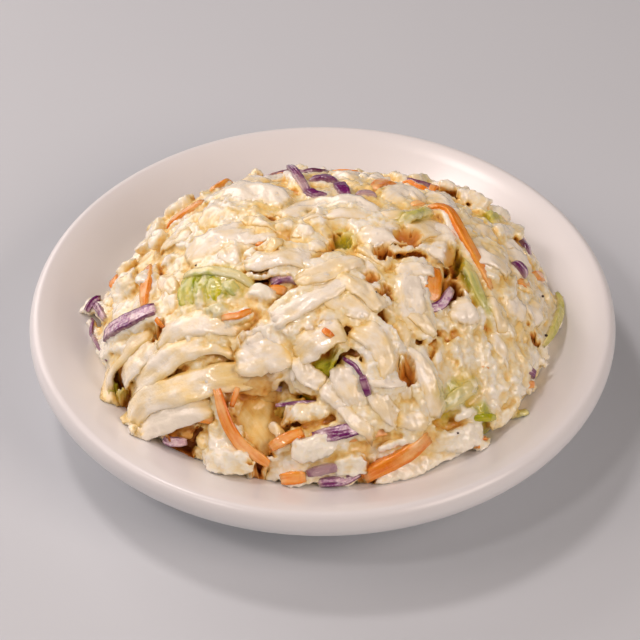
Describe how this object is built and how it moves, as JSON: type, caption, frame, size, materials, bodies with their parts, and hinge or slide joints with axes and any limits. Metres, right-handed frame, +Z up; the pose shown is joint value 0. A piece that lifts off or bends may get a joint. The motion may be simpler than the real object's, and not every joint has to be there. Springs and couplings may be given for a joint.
{
  "type": "coleslaw",
  "caption": "Heaped dome of creamy shredded cabbage and carrot in a shallow round dish with a rolled lip and a foot ring.",
  "frame": {"origin": "centre of the foot ring on the surface the dish stands on", "axes": "+Z up through the heap, -Y to the front as pictured, +X to its right"},
  "size_m": [0.15, 0.15, 0.0559],
  "materials": {
    "dish": "gloss glaze, warm white",
    "coleslaw": "wet creamy dressing over cabbage"
  },
  "bodies": {
    "root": {"dish": "dish", "coleslaw": "coleslaw"}
  },
  "joints": []
}
